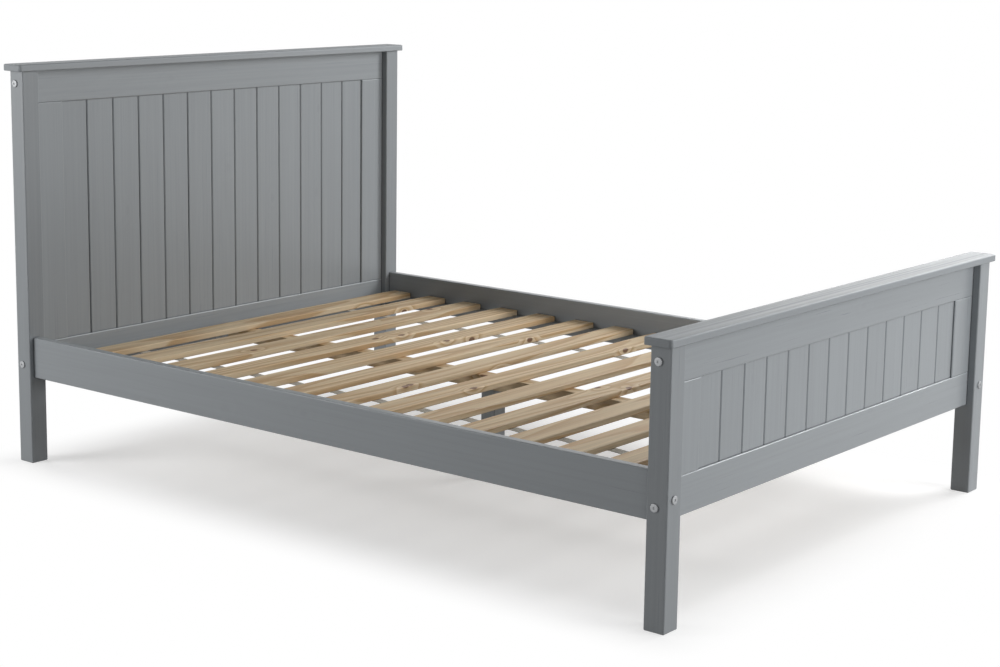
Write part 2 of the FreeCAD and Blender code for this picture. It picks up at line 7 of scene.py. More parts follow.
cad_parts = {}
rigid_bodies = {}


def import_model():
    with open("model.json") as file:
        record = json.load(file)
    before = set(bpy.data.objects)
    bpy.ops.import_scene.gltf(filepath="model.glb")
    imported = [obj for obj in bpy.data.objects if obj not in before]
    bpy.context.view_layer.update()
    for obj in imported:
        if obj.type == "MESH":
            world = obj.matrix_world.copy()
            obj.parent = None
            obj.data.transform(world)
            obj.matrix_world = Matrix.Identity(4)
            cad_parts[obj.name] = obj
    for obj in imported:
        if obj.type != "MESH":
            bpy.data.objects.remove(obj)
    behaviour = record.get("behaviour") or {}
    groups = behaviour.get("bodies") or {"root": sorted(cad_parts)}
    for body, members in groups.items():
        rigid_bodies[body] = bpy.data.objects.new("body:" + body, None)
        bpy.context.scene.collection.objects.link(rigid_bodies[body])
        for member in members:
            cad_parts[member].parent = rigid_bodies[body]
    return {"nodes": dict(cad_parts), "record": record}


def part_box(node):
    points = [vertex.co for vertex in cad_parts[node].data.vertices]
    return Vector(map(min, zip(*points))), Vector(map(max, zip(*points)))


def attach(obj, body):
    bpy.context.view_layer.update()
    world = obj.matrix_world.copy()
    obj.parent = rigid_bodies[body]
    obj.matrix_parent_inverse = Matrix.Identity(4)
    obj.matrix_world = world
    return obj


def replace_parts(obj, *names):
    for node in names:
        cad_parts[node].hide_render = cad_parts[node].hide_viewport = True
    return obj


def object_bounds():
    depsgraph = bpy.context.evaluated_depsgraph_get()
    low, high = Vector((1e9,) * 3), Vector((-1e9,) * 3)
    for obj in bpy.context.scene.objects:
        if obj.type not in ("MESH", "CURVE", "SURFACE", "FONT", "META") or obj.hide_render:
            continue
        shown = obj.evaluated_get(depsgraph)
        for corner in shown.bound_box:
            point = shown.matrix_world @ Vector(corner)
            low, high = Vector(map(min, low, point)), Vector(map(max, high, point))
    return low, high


# Looks of the double bed frame: satin grey paint over pine, raw pine slats, zinc fasteners and webbing.
# Lengths are in metres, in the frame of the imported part: X across the bed, Y from foot to head, Z up.

for leftover in list(bpy.data.objects):
    bpy.data.objects.remove(leftover)
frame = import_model()
cad_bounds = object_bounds()
nodes = frame["nodes"]
slots = {part["node"]: part["material_slot"] for part in frame["record"]["subparts"]}
slat_names = [name for name in sorted(nodes) if name.startswith("slat_") and name[-1].isdigit()]

mm = 0.001
sides = ("left", "right")
x_axis, y_axis, z_axis = range(3)

# Camera, from the lines of the photograph
photo_width = 1000
focal_pixels = 2002.4
sensor_width = 36.0
camera_place = Vector((-3.9023, -3.1140, 1.3803))
camera_yaw = math.radians(-51.556)
camera_pitch = math.radians(-10.005)
camera_roll = math.radians(0.855)
camera_shift = -0.05

# Stage: the floor fades into white round the bed's outline, from inside it to outside it
floor_size = 60.0
floor_fade_start = -0.14
floor_fade_end = 0.13
floor_shade = (0.75, 0.75, 0.75)
floor_lift = 0.38
floor_bounce = (0.32, 0.32, 0.32)
white = (1.0, 1.0, 1.0)
white_strength = 1.0
sky_strength = 0.03

# Studio lamps: where each stands, the point that it faces, its width and its power in watts.
# Two are on the right of the foot, two before it, one on each side of the head and one behind it.
lamps = {
    "high_right_lamp": {"place": (3.2, -1.8, 2.4), "target": (0.0, -0.8, 0.5), "width": 1.4, "power": 50.0},
    "near_right_lamp": {"place": (2.4, -0.9, 2.0), "target": (0.3, -0.9, 0.6), "width": 1.2, "power": 31.0},
    "front_lamp": {"place": (1.05, -4.1, 1.3), "target": (0.1, -1.0, 0.4), "width": 2.2, "power": 84.0},
    "fill_lamp": {"place": (-2.6, -4.2, 1.6), "target": (-0.3, -0.6, 0.4), "width": 2.4, "power": 25.0},
    "side_lamp": {"place": (-3.25, 2.4, 1.25), "target": (-0.7, 0.65, 0.4), "width": 1.8, "power": 69.0},
    "back_lamp": {"place": (4.2, 0.9, 1.5), "target": (0.0, -0.4, 0.5), "width": 1.8, "power": 34.0},
    "rear_lamp": {"place": (0.6, 5.2, 1.7), "target": (0.0, 0.9, 0.5), "width": 2.2, "power": 70.0},
}

# Sockets of a mix node that take and give colours, by their number
mix_share, mix_first, mix_second = 0, 6, 7
mix_result = 2

# The bands in which most values of a noise lie, and the detail of fine noise
noise_band = (0.3, 0.7)
wide_noise_band = (0.25, 0.75)
widest_noise_band = (0.2, 0.8)
fine_detail = 3.0

# The axis that a timber's grain runs along, by a word in its node's name
grain_axes = {
    "cap": "x", "top_rail": "x", "bottom_rail": "x", "slat": "x",
    "side_rail": "y", "ledger": "y", "centre_rail": "y",
    "post": "z", "stile": "z", "centre_leg": "z",
}

# Wood figure: how often things come per metre, across the grain and along it
figure_across = 7.0
figure_along = 0.55
figure_detail = 1.5
figure_roughness = 0.35
rings_per_figure = 16.0
ring_rise_band = (0.15, 0.88)
ring_fall_band = (0.9, 1.0)
fibre_across = 520.0
fibre_along = 5.0
streak_across = 140.0
streak_along = 0.9
end_grain_band = (0.75, 0.95)
end_grain_level = 0.86
seed_spread = 40.0

# Knots: how often they may come per metre, their radius in that scale, and how they bend the rings
knot_across = 5.0
knot_along = 3.0
knot_radius = 0.045
knot_core_share = 0.6
knot_reach_share = 4.0
knot_ring_shift = 1.6

# Edges in the shading: how far they are rounded, and how like the flat normal the rounded one is
edge_reach = 1.0 * mm
fine_edge_reach = 0.4 * mm
edge_samples = 4
edge_likeness_band = (0.995, 0.86)

# Grey paint, with colours here and below as linear values
paint_colour = (0.288, 0.309, 0.326)
# Painted light and shade: lit and shaded copies of one paint for the boards, side rails, posts and each cap
board_painted_light_level = 1.04
side_rail_painted_light_level = 1.06
post_painted_shade_level = 0.94
cap_painted_light_levels = {"foot": 0.93, "head": 1.06}
paint_roughness = (0.27, 0.36)
cap_roughness = (0.48, 0.60)
paint_specular = 0.45
paint_streaks = 0.025
# Streaks on the caps' tops: wood figure, made stronger as painted sheen along the grain
cap_top_streaks_and_sheen = 0.24
paint_ring_tone = -0.014
paint_knot_tone = -0.03
paint_fibre_tone = 0.015
paint_cloud_tones = (0.97, 1.03)
paint_ring_relief = 0.25
paint_fibre_relief = 0.5
paint_knot_relief = 0.6
paint_bump_strength = 0.5
paint_bump_depth = 0.12 * mm
# Painted highlights: how much lighter the paint is made near edges, for light caught by rounded arrises
edge_highlight = 0.10
frame_edge_highlight = 0.55

# Faces that look up: the bands of their normal's Z in which the painted sheen on tops, the painted
# highlight on upward arrises and the fade of the painted crevice shade set in or fade
top_streak_and_sheen_band = (0.5, 0.9)
upper_arris_highlight_start_band = (0.4, 0.6)
upper_arris_highlight_end_band = (0.85, 0.98)
crevice_shade_fade_band = (0.3, 0.6)

# Painted shade: darkening in the crevices between pieces, from ambient occlusion
crevice_shade_reach = 4.0 * mm
crevice_shade_samples = 8
crevice_shade_band = (0.35, 0.95)
crevice_shade_level = 0.38

# Raw pine
pine_pale = (0.70, 0.55, 0.36)
pine_dark = (0.52, 0.34, 0.17)
pine_knot = (0.17, 0.080, 0.035)
pine_roughness = (0.62, 0.50)
pine_streak_tones = (0.90, 1.08)
pine_fibre_tone = 0.05
# Painted highlight: how much lighter raw pine is made near edges
pine_edge_highlight = 0.05
pine_ring_relief = 0.5
pine_bump_strength = 0.4
pine_bump_depth = 0.15 * mm

# Zinc plating: its mottle and its scratches by their scale per metre
zinc_colour = (0.36, 0.37, 0.38)
zinc_metallic = 0.6
zinc_roughness = (0.50, 0.62)
zinc_mottle_scale = 900.0
zinc_mottle_tones = (0.90, 1.10)
zinc_scratch_scale = 6000.0
zinc_scratch_seed = 3.0
# Painted highlight: how much lighter the zinc is made near edges
zinc_edge_highlight = 0.12
zinc_bump_strength = 0.25
zinc_bump_depth = 0.03 * mm

# Beech dowels
beech_colour = (0.56, 0.38, 0.23)
beech_roughness = (0.55, 0.7)
beech_streak_tones = (0.92, 1.06)
beech_fleck_band = (0.55, 0.8)
beech_fleck_tone = -0.15
beech_bump_strength = 0.3
beech_bump_depth = 0.1 * mm

# Webbing: the pitch of its threads, and the fuzz on them by its scale per metre
webbing_colour = (0.56, 0.53, 0.46)
webbing_roughness = (0.75, 0.9)
webbing_sheen = 0.25
weave_across = 1.5 * mm
weave_along = 1.1 * mm
weave_under_level = 0.45
weave_height_band = (0.2, 1.0)
# Painted shade in the weave's hollows: darker where the threads lie low
weave_hollow_shades = (0.62, 1.0)
fuzz_scale = 900.0
fuzz_tone = 0.08
webbing_bump_strength = 0.8
webbing_bump_depth = 0.3 * mm

# Rounding of the edges that the CAD nodes leave sharp
weld_distance = 0.01 * mm
rounding_segments = 2
timber_slots = ("grey_paint", "pine")
timber_rounding = 0.6 * mm
timber_rounding_angle = math.radians(30)
board_shortest_arris = 10.0 * mm
post_shortest_arris = 1.0 * mm
metal_rounding = 0.5 * mm
metal_rounding_angle = math.radians(70)
metal_shortest_arris = 0.0

# New pieces: the sides of what is round, and the angle up to which faces are shaded as one
round_sides = 32
smooth_angle = math.radians(35)

# Bolts with a flat head, a rounded rim and a hexagon socket
bolt_head_radius = 9.0 * mm
bolt_head_height = 3.2 * mm
bolt_rim_radius = 1.1 * mm
bolt_rim_steps = 4
bolt_shank_radius = 4.0 * mm
bolt_tip_chamfer = 0.8 * mm
socket_width = 5.0 * mm
socket_sides = 6
socket_depth = 1.4 * mm

# Screws with a cross recess
screw_head_radius = 3.8 * mm
screw_head_rim = 0.25 * mm
screw_head_depth = 2.2 * mm
screw_shank_radius = 2.0 * mm
screw_tip_radius = 0.3 * mm
screw_tip_length = 5.0 * mm
cross_arm = 2.3 * mm
cross_half_width = 0.5 * mm
cross_depth = 1.5 * mm
cross_floor_share = 0.6

# Slotted end faces of the barrel nuts
nut_radius = 5.9 * mm
nut_rim = 0.2 * mm
nut_sink = 0.6 * mm
nut_face_sink = 0.15 * mm
slot_half_length = 4.6 * mm
slot_half_width = 0.8 * mm
slot_floor_sink = 0.55 * mm

# Webbing tapes and the staples that hold them to the slats
tape_sag = 1.6 * mm
tape_selvedge = 0.5 * mm
tape_edge_share = 0.5
tape_step = 6.0 * mm
staple_crown = 11.0 * mm
staple_leg = 9.0 * mm
staple_wire = 0.6 * mm
staple_width = 1.2 * mm
staple_bend = 0.9 * mm
staple_bend_steps = 4
staple_spacing = 30.0 * mm


class Nodes:
    """A node tree, with short calls that add nodes and join them."""

    def __init__(self, tree):
        self.tree = tree
        tree.nodes.clear()

    def put(self, socket, value):
        """Link a socket to another one, or set its value."""
        if isinstance(value, bpy.types.NodeSocket):
            self.tree.links.new(value, socket)
        elif socket.type == "RGBA":
            socket.default_value = (*value, 1.0)
        else:
            socket.default_value = value

    def add(self, kind, inputs=None, **settings):
        """A new node with its settings and inputs."""
        node = self.tree.nodes.new("ShaderNode" + kind)
        for name, value in settings.items():
            setattr(node, name, value)
        for name, value in (inputs or {}).items():
            self.put(node.inputs[name], value)
        return node

    def math(self, operation, *values):
        """The result of a sum on sockets and numbers."""
        node = self.add("Math", operation=operation)
        for socket, value in zip(node.inputs, values):
            self.put(socket, value)
        return node.outputs["Value"]

    def plus(self, first, second):
        """Two sockets or numbers added up."""
        return self.math("ADD", first, second)

    def times(self, first, second):
        """Two sockets or numbers multiplied."""
        return self.math("MULTIPLY", first, second)

    def place(self):
        """A point's place in its object."""
        return self.add("TexCoord").outputs["Object"]

    def normal(self):
        """The normal of a face."""
        return self.add("NewGeometry").outputs["Normal"]

    def vector(self, *values):
        """A vector of three sockets or numbers."""
        return self.add("CombineXYZ", dict(zip("XYZ", values))).outputs["Vector"]

    def parts(self, vector):
        """The X, Y and Z of a vector."""
        return self.add("SeparateXYZ", {"Vector": vector}).outputs

    def span(self, value, low, high, start=0.0, end=1.0):
        """A value's place between low and high, eased, as a number from start to end."""
        inputs = {"Value": value, "From Min": low, "From Max": high, "To Min": start, "To Max": end}
        return self.add("MapRange", inputs, interpolation_type="SMOOTHSTEP").outputs["Result"]

    def noise(self, vector, seed=0.0, detail=2.0, roughness=0.5):
        """Soft noise with its scale in the vector."""
        inputs = {"Vector": vector, "W": seed, "Scale": 1.0, "Detail": detail, "Roughness": roughness}
        return self.add("TexNoise", inputs, noise_dimensions="4D").outputs["Fac"]

    def mix(self, share, first, second):
        """A colour between two colours."""
        node = self.add("Mix", data_type="RGBA")
        for place, value in ((mix_share, share), (mix_first, first), (mix_second, second)):
            self.put(node.inputs[place], value)
        return node.outputs[mix_result]

    def enlarged(self, vector, scale):
        """A vector times a number."""
        return self.add("VectorMath", {0: vector, "Scale": scale}, operation="SCALE").outputs["Vector"]

    def toned(self, colour, tone):
        """A colour made lighter or darker by a number."""
        tones = self.vector(tone, tone, tone)
        return self.add("VectorMath", {0: colour, 1: tones}, operation="MULTIPLY").outputs["Vector"]

    def bump(self, height, strength, depth, normal=None):
        """A normal that follows small heights of the surface."""
        inputs = {"Strength": strength, "Distance": depth, "Height": height}
        if normal is not None:
            inputs["Normal"] = normal
        return self.add("Bump", inputs).outputs["Normal"]


def new_material(name):
    """A material with an empty node tree, and the calls to fill it."""
    material = bpy.data.materials.new(name)
    material.use_nodes = True
    return material, Nodes(material.node_tree)


def surface(n, settings):
    """End a material in one principled shader with these inputs."""
    shader = n.add("BsdfPrincipled", settings)
    n.add("OutputMaterial", {"Surface": shader.outputs["BSDF"]})


def wood_figure(n, axis, boards=None):
    """Growth rings, fibres, streaks and knots of a timber whose grain runs along an axis.

    Boards gives the first edge and the pitch of boards that lie side by side across X in one node.
    """
    place = n.place()
    x, y, z = n.parts(place)
    along, flat, deep = {"x": (x, y, z), "y": (y, x, z), "z": (z, x, y)}[axis]
    seed = n.times(n.add("ObjectInfo").outputs["Random"], seed_spread)
    if boards:
        start, pitch = boards
        number = n.math("FLOOR", n.math("DIVIDE", n.math("SUBTRACT", flat, start), pitch))
        seed = n.plus(seed, number)

    def stretched(per_across, per_along):
        return n.vector(
            n.times(along, per_along),
            n.times(flat, per_across),
            n.times(deep, per_across),
        )

    knot_place = n.vector(
        n.plus(n.times(along, knot_along), seed),
        n.plus(n.times(n.plus(flat, deep), knot_across), seed),
        0.0,
    )
    knots = n.add("TexVoronoi", {"Vector": knot_place, "Scale": 1.0}, voronoi_dimensions="2D")
    knot_distance = knots.outputs["Distance"]
    near_knot = n.span(knot_distance, 0.0, knot_radius * knot_reach_share, 1.0, 0.0)
    contour = n.noise(stretched(figure_across, figure_along), seed, figure_detail, figure_roughness)
    phase = n.plus(n.times(contour, rings_per_figure), n.times(near_knot, knot_ring_shift))
    turn = n.math("FRACT", phase)
    facing = dict(zip("xyz", n.parts(n.normal())))
    return {
        "place": place,
        "seed": seed,
        "up": facing["z"],
        "end_grain": n.span(n.math("ABSOLUTE", facing[axis]), *end_grain_band),
        "ring": n.times(n.span(turn, *ring_rise_band), n.span(turn, *ring_fall_band, 1.0, 0.0)),
        "fibre": n.noise(stretched(fibre_across, fibre_along), seed, fine_detail),
        "streak": n.noise(stretched(streak_across, streak_along), seed, fine_detail),
        "knot": n.span(knot_distance, knot_radius * knot_core_share, knot_radius, 1.0, 0.0),
    }


def edge_rounding(n, reach):
    """A normal that rounds sharp edges, and how near to an edge a point lies."""
    rounded = n.add("Bevel", {"Radius": reach}, samples=edge_samples).outputs["Normal"]
    likeness = n.add("VectorMath", {0: rounded, 1: n.normal()}, operation="DOT_PRODUCT")
    return rounded, n.span(likeness.outputs["Value"], *edge_likeness_band)


def paint_tone(n, wood, edge, highlight_gain, top_streaks_and_sheen):
    """How light the paint is: grain streaks, on tops partly painted sheen, clouds, painted edge highlights,
    painted crevice shade.
    """
    # Streaks are stronger on faces that look up: grain, partly painted sheen
    streaks = n.span(wood["up"], *top_streak_and_sheen_band, paint_streaks, top_streaks_and_sheen)
    tone = n.math("MULTIPLY_ADD", n.span(wood["streak"], *noise_band, -1.0, 1.0), streaks, 1.0)
    tone = n.plus(tone, n.times(wood["ring"], paint_ring_tone))
    tone = n.plus(tone, n.times(wood["knot"], paint_knot_tone))
    tone = n.plus(tone, n.span(wood["fibre"], *noise_band, -paint_fibre_tone, paint_fibre_tone))
    # Painted highlight on arrises that look up but are not flat tops
    upper_arris_highlight = n.times(
        n.span(wood["up"], *upper_arris_highlight_start_band),
        n.span(wood["up"], *upper_arris_highlight_end_band, 1.0, 0.0),
    )
    # Painted highlight: lighter near edges and on upward arrises, by the highlight gain
    tone = n.math("MULTIPLY_ADD", n.math("MAXIMUM", edge, upper_arris_highlight), highlight_gain, tone)
    # Painted shade: darker where little is open round a point, but not on faces that look up
    occlusion = n.add("AmbientOcclusion", {"Distance": crevice_shade_reach}, samples=crevice_shade_samples)
    crevice_shade = n.span(occlusion.outputs["AO"], *crevice_shade_band, crevice_shade_level, 1.0)
    tone = n.times(tone, n.math("MAXIMUM", crevice_shade, n.span(wood["up"], *crevice_shade_fade_band)))
    cloud = n.noise(wood["place"], wood["seed"])
    tone = n.times(tone, n.span(cloud, *wide_noise_band, *paint_cloud_tones))
    return n.times(tone, n.span(wood["end_grain"], 0.0, 1.0, 1.0, end_grain_level))


def painted_timber(
    name, axis, level=1.0, top_streaks_and_sheen=paint_streaks, roughness=paint_roughness,
    highlight_gain=edge_highlight, reach=edge_reach, boards=None,
):
    """Satin grey paint that lets the grain of the pine show through, with painted highlights on its edges.

    Level is the share of the plain colour: painted light or shade. The top streaks, partly painted sheen,
    are those on faces that look up.
    """
    material, n = new_material("grey_paint_" + name)
    wood = wood_figure(n, axis, boards)
    rounded, edge = edge_rounding(n, reach)
    tone = paint_tone(n, wood, edge, highlight_gain, top_streaks_and_sheen)
    relief = n.plus(
        n.times(wood["ring"], paint_ring_relief),
        n.times(wood["fibre"], paint_fibre_relief),
    )
    relief = n.plus(relief, n.times(wood["knot"], paint_knot_relief))
    # The colour times the level lightens or darkens the piece as painted light or shade
    surface(n, {
        "Base Color": n.toned([part * level for part in paint_colour], tone),
        "Roughness": n.span(wood["fibre"], *wide_noise_band, *roughness),
        "Specular IOR Level": paint_specular,
        "Normal": n.bump(relief, paint_bump_strength, paint_bump_depth, rounded),
    })
    return material


def raw_pine(axis):
    """Planed pine with growth rings, fibres and knots."""
    material, n = new_material("pine_" + axis)
    wood = wood_figure(n, axis)
    rounded, edge = edge_rounding(n, edge_reach)
    tone = n.plus(
        n.span(wood["streak"], *noise_band, *pine_streak_tones),
        n.span(wood["fibre"], *noise_band, -pine_fibre_tone, pine_fibre_tone),
    )
    # Painted highlight near edges
    tone = n.plus(tone, n.times(edge, pine_edge_highlight))
    tone = n.times(tone, n.span(wood["end_grain"], 0.0, 1.0, 1.0, end_grain_level))
    clear_wood = n.toned(n.mix(wood["ring"], pine_pale, pine_dark), tone)
    relief = n.plus(n.times(wood["ring"], pine_ring_relief), wood["fibre"])
    surface(n, {
        "Base Color": n.mix(wood["knot"], clear_wood, pine_knot),
        "Roughness": n.span(wood["ring"], 0.0, 1.0, *pine_roughness),
        "Normal": n.bump(relief, pine_bump_strength, pine_bump_depth, rounded),
    })
    return material


def zinc_plate():
    """Bright zinc plating, mottled, with fine scratches."""
    material, n = new_material("zinc_steel")
    place = n.place()
    mottle = n.noise(n.enlarged(place, zinc_mottle_scale), detail=fine_detail)
    scratch = n.noise(n.enlarged(place, zinc_scratch_scale), zinc_scratch_seed)
    rounded, edge = edge_rounding(n, fine_edge_reach)
    # Painted highlight near edges
    tone = n.plus(n.span(mottle, *noise_band, *zinc_mottle_tones), n.times(edge, zinc_edge_highlight))
    surface(n, {
        "Base Color": n.toned(zinc_colour, tone),
        "Metallic": zinc_metallic,
        "Roughness": n.span(mottle, *wide_noise_band, *zinc_roughness),
        "Normal": n.bump(scratch, zinc_bump_strength, zinc_bump_depth, rounded),
    })
    return material


def turned_beech():
    """Plain beech with short dark flecks."""
    material, n = new_material("beech")
    wood = wood_figure(n, "x")
    tone = n.plus(
        n.span(wood["streak"], *noise_band, *beech_streak_tones),
        n.span(wood["fibre"], *beech_fleck_band, 0.0, beech_fleck_tone),
    )
    surface(n, {
        "Base Color": n.toned(beech_colour, tone),
        "Roughness": n.span(wood["fibre"], *widest_noise_band, *beech_roughness),
        "Normal": n.bump(wood["fibre"], beech_bump_strength, beech_bump_depth),
    })
    return material


def woven_tape():
    """Coarse plain weave: threads along and across the tape, over and under each other in turn."""
    material, n = new_material("webbing")
    x, y, _ = n.parts(n.place())
    across = n.math("DIVIDE", x, weave_across)
    along = n.math("DIVIDE", y, weave_along)
    turn = n.plus(n.math("FLOOR", across), n.math("FLOOR", along))
    over = n.math("MODULO", n.math("ABSOLUTE", turn), 2.0)

    def thread(value):
        return n.math("ABSOLUTE", n.math("SINE", n.times(value, math.pi)))

    warp = n.times(thread(across), n.span(over, 0.0, 1.0, weave_under_level, 1.0))
    weft = n.times(thread(along), n.span(over, 0.0, 1.0, 1.0, weave_under_level))
    height = n.math("MAXIMUM", warp, weft)
    fuzz_place = n.vector(n.times(x, fuzz_scale), n.times(y, fuzz_scale), 0.0)
    fuzz = n.noise(fuzz_place, detail=fine_detail)
    # Painted shade: the weave is darker in its hollows
    tone = n.plus(
        n.span(height, *weave_height_band, *weave_hollow_shades),
        n.span(fuzz, *noise_band, -fuzz_tone, fuzz_tone),
    )
    surface(n, {
        "Base Color": n.toned(webbing_colour, tone),
        "Roughness": n.span(fuzz, *widest_noise_band, *webbing_roughness),
        "Sheen Weight": webbing_sheen,
        "Normal": n.bump(height, webbing_bump_strength, webbing_bump_depth),
    })
    return material


plain_finishes = {"zinc_steel": zinc_plate(), "beech": turned_beech(), "webbing": woven_tape()}


def solid_boxes(name):
    """The lowest and highest corner of each separate solid of a CAD node, in order along the axes."""
    shape = bmesh.new()
    shape.from_mesh(nodes[name].data)
    bmesh.ops.remove_doubles(shape, verts=shape.verts, dist=weld_distance)
    waiting = set(shape.verts)
    boxes = []
    while waiting:
        group = [waiting.pop()]
        for vertex in group:
            for edge in vertex.link_edges:
                other = edge.other_vert(vertex)
                if other in waiting:
                    waiting.remove(other)
                    group.append(other)
        corners = list(zip(*(vertex.co for vertex in group)))
        boxes.append((Vector(map(min, corners)), Vector(map(max, corners))))
    shape.free()
    return sorted(boxes, key=lambda box: tuple(box[0]))


def plank_boards(end):
    """The first edge and the pitch of the planks between the stiles of a board."""
    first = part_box(f"{end}_stile_left")[1].x
    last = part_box(f"{end}_stile_right")[0].x
    return first, (last - first) / len(solid_boxes(f"{end}_planks"))


def timber_finishes():
    """The finish of each painted or raw timber node."""
    painted = {
        axis: painted_timber(
            "frame_" + axis, axis, board_painted_light_level, highlight_gain=frame_edge_highlight, reach=fine_edge_reach,
        )
        for axis in "xz"
    }
    painted["y"] = painted_timber("side_rails", "y", side_rail_painted_light_level)
    pine = {axis: raw_pine(axis) for axis in "xy"}
    posts = painted_timber("posts", "z", post_painted_shade_level, highlight_gain=frame_edge_highlight)
    planks = painted_timber(
        "planks", "z", board_painted_light_level, highlight_gain=0.0, boards=plank_boards("head"),
    )
    # Each cap gets its own level of the same paint, as painted light or shade
    caps = {
        f"{end}_cap": painted_timber(
            f"{end}_cap", "x", level, cap_top_streaks_and_sheen, cap_roughness, highlight_gain=0.0,
        )
        for end, level in cap_painted_light_levels.items()
    }
    finishes = {}
    for name in nodes:
        if slots[name] not in timber_slots:
            continue
        if name.endswith("planks"):
            finishes[name] = planks
        elif "_post_" in name:
            finishes[name] = posts
        elif name in caps:
            finishes[name] = caps[name]
        else:
            axis = next(axis for word, axis in grain_axes.items() if word in name)
            finishes[name] = pine[axis] if slots[name] == "pine" else painted[axis]
    return finishes


def arris_marker(name, angle, shortest):
    """A node group that marks the sharp edges that stand out of a mesh, apart from the short ones."""
    group = bpy.data.node_groups.new(name, "GeometryNodeTree")
    for way in ("INPUT", "OUTPUT"):
        group.interface.new_socket("Mesh", in_out=way, socket_type="NodeSocketGeometry")
    start = group.nodes.new("NodeGroupInput")
    turn = group.nodes.new("GeometryNodeInputMeshEdgeAngle")
    ends = group.nodes.new("GeometryNodeInputMeshEdgeVertices")
    length = group.nodes.new("ShaderNodeVectorMath")
    length.operation = "DISTANCE"
    sharp = group.nodes.new("FunctionNodeCompare")
    sharp.inputs["B"].default_value = angle
    long = group.nodes.new("FunctionNodeCompare")
    long.inputs["B"].default_value = shortest
    both = group.nodes.new("FunctionNodeBooleanMath")
    store = group.nodes.new("GeometryNodeStoreNamedAttribute")
    store.domain = "EDGE"
    store.inputs["Name"].default_value = "bevel_weight_edge"
    end = group.nodes.new("NodeGroupOutput")
    for source, target in (
        (ends.outputs["Position 1"], length.inputs[0]),
        (ends.outputs["Position 2"], length.inputs[1]),
        (turn.outputs["Signed Angle"], sharp.inputs["A"]),
        (length.outputs["Value"], long.inputs["A"]),
        (sharp.outputs["Result"], both.inputs[0]),
        (long.outputs["Result"], both.inputs[1]),
        (both.outputs["Boolean"], store.inputs["Value"]),
        (start.outputs["Mesh"], store.inputs["Geometry"]),
        (store.outputs["Geometry"], end.inputs["Mesh"]),
    ):
        group.links.new(source, target)
    return group


def soften(node, width, marker):
    """Round the marked edges of a CAD node a little."""
    weld = node.modifiers.new("weld", "WELD")
    weld.merge_threshold = weld_distance
    marks = node.modifiers.new("marks", "NODES")
    marks.node_group = marker
    rounding = node.modifiers.new("rounding", "BEVEL")
    rounding.width = width
    rounding.segments = rounding_segments
    rounding.limit_method = "WEIGHT"
    rounding.use_clamp_overlap = False
    cut = node.modifiers.new("cut", "TRIANGULATE")
    cut.quad_method = "BEAUTY"
    cut.ngon_method = "BEAUTY"


def dress_nodes():
    """Give every CAD node its finish, and round the sharp edges of timber and metal.

    The posts and the leg have short arrises at their feet. On the other timbers the short edges are
    those of bores and tenons, which stay sharp.
    """
    timber = timber_finishes()
    board_arrises = arris_marker("board_arrises", timber_rounding_angle, board_shortest_arris)
    post_arrises = arris_marker("post_arrises", timber_rounding_angle, post_shortest_arris)
    metal_arrises = arris_marker("metal_arrises", metal_rounding_angle, metal_shortest_arris)
    for name, node in nodes.items():
        node.data.materials.clear()
        if name in timber:
            node.data.materials.append(timber[name])
            upright = "post" in name or "leg" in name
            soften(node, timber_rounding, post_arrises if upright else board_arrises)
        else:
            node.data.materials.append(plain_finishes[slots[name]])
            if slots[name] == "zinc_steel":
                soften(node, metal_rounding, metal_arrises)


def new_piece(name, shape, slot):
    """Turn a finished mesh into a piece that rides on the bed."""
    bmesh.ops.recalc_face_normals(shape, faces=shape.faces)
    mesh = bpy.data.meshes.new(name)
    shape.to_mesh(mesh)
    shape.free()
    mesh.shade_smooth()
    mesh.set_sharp_from_angle(angle=smooth_angle)
    mesh.materials.append(plain_finishes[slot])
    piece = bpy.data.objects.new(name, mesh)
    bpy.context.scene.collection.objects.link(piece)
    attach(piece, "root")
    return piece


def aimed(point, direction):
    """A frame at a point, with its Z axis along a direction."""
    turn = Vector(direction).to_track_quat("Z", "Y").to_matrix().to_4x4()
    return Matrix.Translation(point) @ turn


def outline_loop(shape, place, outline, height):
    """The points of an outline at a height over its frame."""
    return [shape.verts.new(place @ Vector((x, y, height))) for x, y in outline]


def circle(radius, count=round_sides):
    """The outline of a circle, or of a polygon whose corners lie on it."""
    steps = [2 * math.pi * turn / count for turn in range(count)]
    return [(radius * math.cos(step), radius * math.sin(step)) for step in steps]


def quarter_steps(count):
    """The angles that divide a quarter turn into steps, with both ends."""
    return [math.pi / 2 * step / count for step in range(count + 1)]


def cross(arm, half_width):
    """The outline of a cross."""
    quarter = [(arm, -half_width), (arm, half_width), (half_width, half_width)]
    turns = [Matrix.Rotation(turn * math.pi / 2, 2) for turn in range(4)]
    return [turn @ Vector(point) for turn in turns for point in quarter]


def walls(shape, loops):
    """Faces from each loop of points to the next."""
    for upper, lower in zip(loops, loops[1:]):
        for place in range(len(upper)):
            shape.faces.new((upper[place - 1], lower[place - 1], lower[place], upper[place]))


def lid(shape, rim, hole):
    """A flat face between a rim and the mouth of a recess."""
    pairs = [(loop[place - 1], loop[place]) for loop in (rim, hole) for place in range(len(loop))]
    edges = [shape.edges.get(pair) or shape.edges.new(pair) for pair in pairs]
    bmesh.ops.triangle_fill(shape, edges=edges, use_beauty=True)


def turned_with_recess(shape, place, profile, recess, recess_floor, floor_height):
    """A turned solid, from its top rim to its end, with a recess in its top."""
    loops = [outline_loop(shape, place, circle(radius), height) for radius, height in profile]
    walls(shape, loops)
    shape.faces.new(loops[-1])
    mouth = outline_loop(shape, place, recess, profile[0][1])
    floor = outline_loop(shape, place, recess_floor, floor_height)
    walls(shape, [mouth, floor])
    shape.faces.new(floor)
    lid(shape, loops[0], mouth)


def long_axis(box):
    """The axis along which a box is longest."""
    size = box[1] - box[0]
    return max(range(3), key=lambda axis: size[axis])


